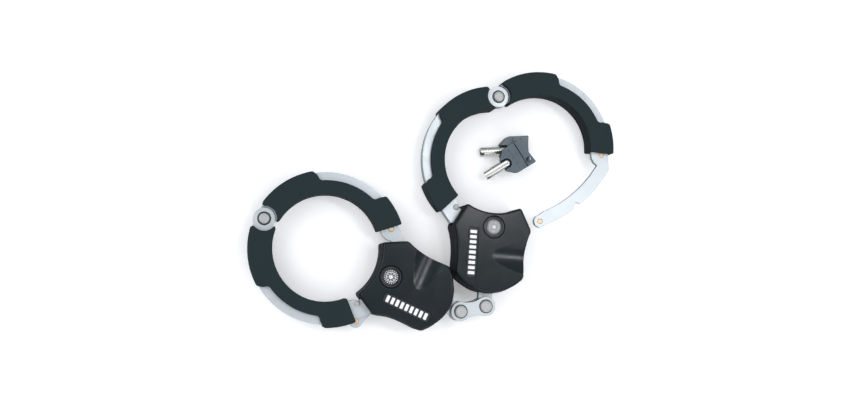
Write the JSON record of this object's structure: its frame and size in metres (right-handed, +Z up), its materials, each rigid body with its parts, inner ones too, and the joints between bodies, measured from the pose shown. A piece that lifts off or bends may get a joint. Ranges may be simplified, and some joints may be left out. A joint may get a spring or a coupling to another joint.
{
  "type": "handcuffs",
  "caption": "Pair of hinged locking cuffs with sleeved laminated steel arms, black lock bodies, a roller-chain link and tubular keys.",
  "frame": {"origin": "centre of the bounding box on the table plane", "axes": "+Z up through the thickness of the cuffs, +X along the long side of the laid-out set, +Y towards the open cuff"},
  "size_m": [0.2706, 0.1898, 0.0275],
  "materials": {
    "cover": "satin, lightly grained",
    "sleeve": "fine matt grain",
    "zinc_plate": "bright zinc plate, fine linear grain",
    "pin_steel": "turned, slightly worn",
    "rivet": "peened brass",
    "core": "grey die casting",
    "keyway_ring": "black",
    "label": "black with light raised bars",
    "lock_metal": "plated",
    "spring_wire": "drawn wire",
    "key_steel": "nickel plated tube",
    "key_plastic": "grey-black moulded"
  },
  "bodies": {
    "left_lock": {"left_front_cover": "cover", "left_rear_cover": "cover", "left_core_front": "core", "left_core_rear": "core", "left_anchor_tongue": "zinc_plate", "left_latch_guide": "core", "left_latch_spring": "spring_wire", "left_cylinder_shell": "keyway_ring", "left_badge_plate": "label", "left_fixed_plate_top": "zinc_plate", "left_fixed_plate_bottom": "zinc_plate", "left_fixed_spacer": "zinc_plate", "left_fixed_sleeve": "sleeve", "left_base_rivet": "pin_steel", "left_pivot_pin": "pin_steel"},
    "left_arm": {"left_tail_plate_top": "zinc_plate", "left_tail_plate_bottom": "zinc_plate", "left_swing_plate_top": "zinc_plate", "left_swing_plate_bottom": "zinc_plate", "left_swing_sleeve": "sleeve", "left_tip_rivet": "rivet", "left_tab_rivet": "rivet"},
    "left_latch": {"left_latch_bolt": "pin_steel"},
    "left_plug": {"left_key_plug": "lock_metal"},
    "left_flap": {"left_shutter": "lock_metal"},
    "link": {"link_plate_top": "zinc_plate", "link_plate_bottom": "zinc_plate", "link_pin_left": "pin_steel", "link_pin_right": "pin_steel"},
    "right_lock": {"right_front_cover": "cover", "right_rear_cover": "cover", "right_core_front": "core", "right_core_rear": "core", "right_anchor_tongue": "zinc_plate", "right_latch_guide": "core", "right_latch_spring": "spring_wire", "right_cylinder_shell": "keyway_ring", "right_badge_plate": "label", "right_fixed_plate_top": "zinc_plate", "right_fixed_plate_bottom": "zinc_plate", "right_fixed_spacer": "zinc_plate", "right_fixed_sleeve": "sleeve", "right_base_rivet": "pin_steel", "right_pivot_pin": "pin_steel"},
    "right_arm": {"right_tail_plate_top": "zinc_plate", "right_tail_plate_bottom": "zinc_plate", "right_swing_plate_top": "zinc_plate", "right_swing_plate_bottom": "zinc_plate", "right_swing_sleeve": "sleeve", "right_tip_rivet": "rivet", "right_tab_rivet": "rivet"},
    "right_latch": {"right_latch_bolt": "pin_steel"},
    "right_plug": {"right_key_plug": "lock_metal"},
    "right_flap": {"right_shutter": "lock_metal"},
    "front_key": {"front_key_barrel": "key_steel", "front_key_bow": "key_plastic"},
    "rear_key": {"rear_key_barrel": "key_steel", "rear_key_bow": "key_plastic"}
  },
  "joints": [
    {"name": "left_swing", "type": "hinge", "parent": "left_lock", "child": "left_arm", "pos_m": [-0.12368, -0.01536, 0.0135], "axis": [0, 0, 1], "range_deg": [0, 102]},
    {"name": "left_latch_slide", "type": "slide", "parent": "left_lock", "child": "left_latch", "axis": [-0.9026, 0.4305, 0], "range_m": [0, 0.00425], "deforming": ["left_latch_spring"]},
    {"name": "left_plug_turn", "type": "hinge", "parent": "left_lock", "child": "left_plug", "pos_m": [-0.03546, -0.05688, 0.022], "axis": [0, 0, 1], "range_deg": [0, 90]},
    {"name": "left_flap_lift", "type": "hinge", "parent": "left_lock", "child": "left_flap", "pos_m": [-0.04164, -0.05393, 0.0269], "axis": [-0.4305, -0.9026, 0], "range_deg": [0, 100]},
    {"name": "link_turn", "type": "hinge", "parent": "left_lock", "child": "link", "pos_m": [0.01622, -0.08209, 0.0135], "axis": [0, 0, 1], "range_deg": [-90, 2.5]},
    {"name": "right_turn", "type": "hinge", "parent": "link", "child": "right_lock", "pos_m": [0.03495, -0.07862, 0.0135], "axis": [0, 0, 1], "range_deg": [-90, 2.5]},
    {"name": "right_swing", "type": "hinge", "parent": "right_lock", "child": "right_arm", "pos_m": [0.04712, 0.07591, 0.0135], "axis": [0, 0, 1], "range_deg": [-46, 56]},
    {"name": "right_latch_slide", "type": "slide", "parent": "right_lock", "child": "right_latch", "axis": [0.0785, 0.9969, 0], "range_m": [0, 0.00425], "deforming": ["right_latch_spring"]},
    {"name": "right_plug_turn", "type": "hinge", "parent": "right_lock", "child": "right_plug", "pos_m": [0.03997, -0.02133, 0.022], "axis": [0, 0, 1], "range_deg": [0, 90]},
    {"name": "right_flap_lift", "type": "hinge", "parent": "right_lock", "child": "right_flap", "pos_m": [0.0405, -0.0145, 0.0269], "axis": [-0.9969, 0.0785, 0], "range_deg": [0, 100]},
    {"name": "rear_key_lift", "type": "slide", "parent": "right_lock", "child": "rear_key", "axis": [0, 0, 1], "range_m": [0, 0.06]},
    {"name": "front_key_lift", "type": "slide", "parent": "rear_key", "child": "front_key", "axis": [0, 0, 1], "range_m": [0, 0.06]}
  ],
  "couplings": [
    {"joint": "left_latch_slide", "follows": "left_plug_turn", "m_per_rad": 0.002674},
    {"joint": "right_latch_slide", "follows": "right_plug_turn", "m_per_rad": 0.002674}
  ]
}
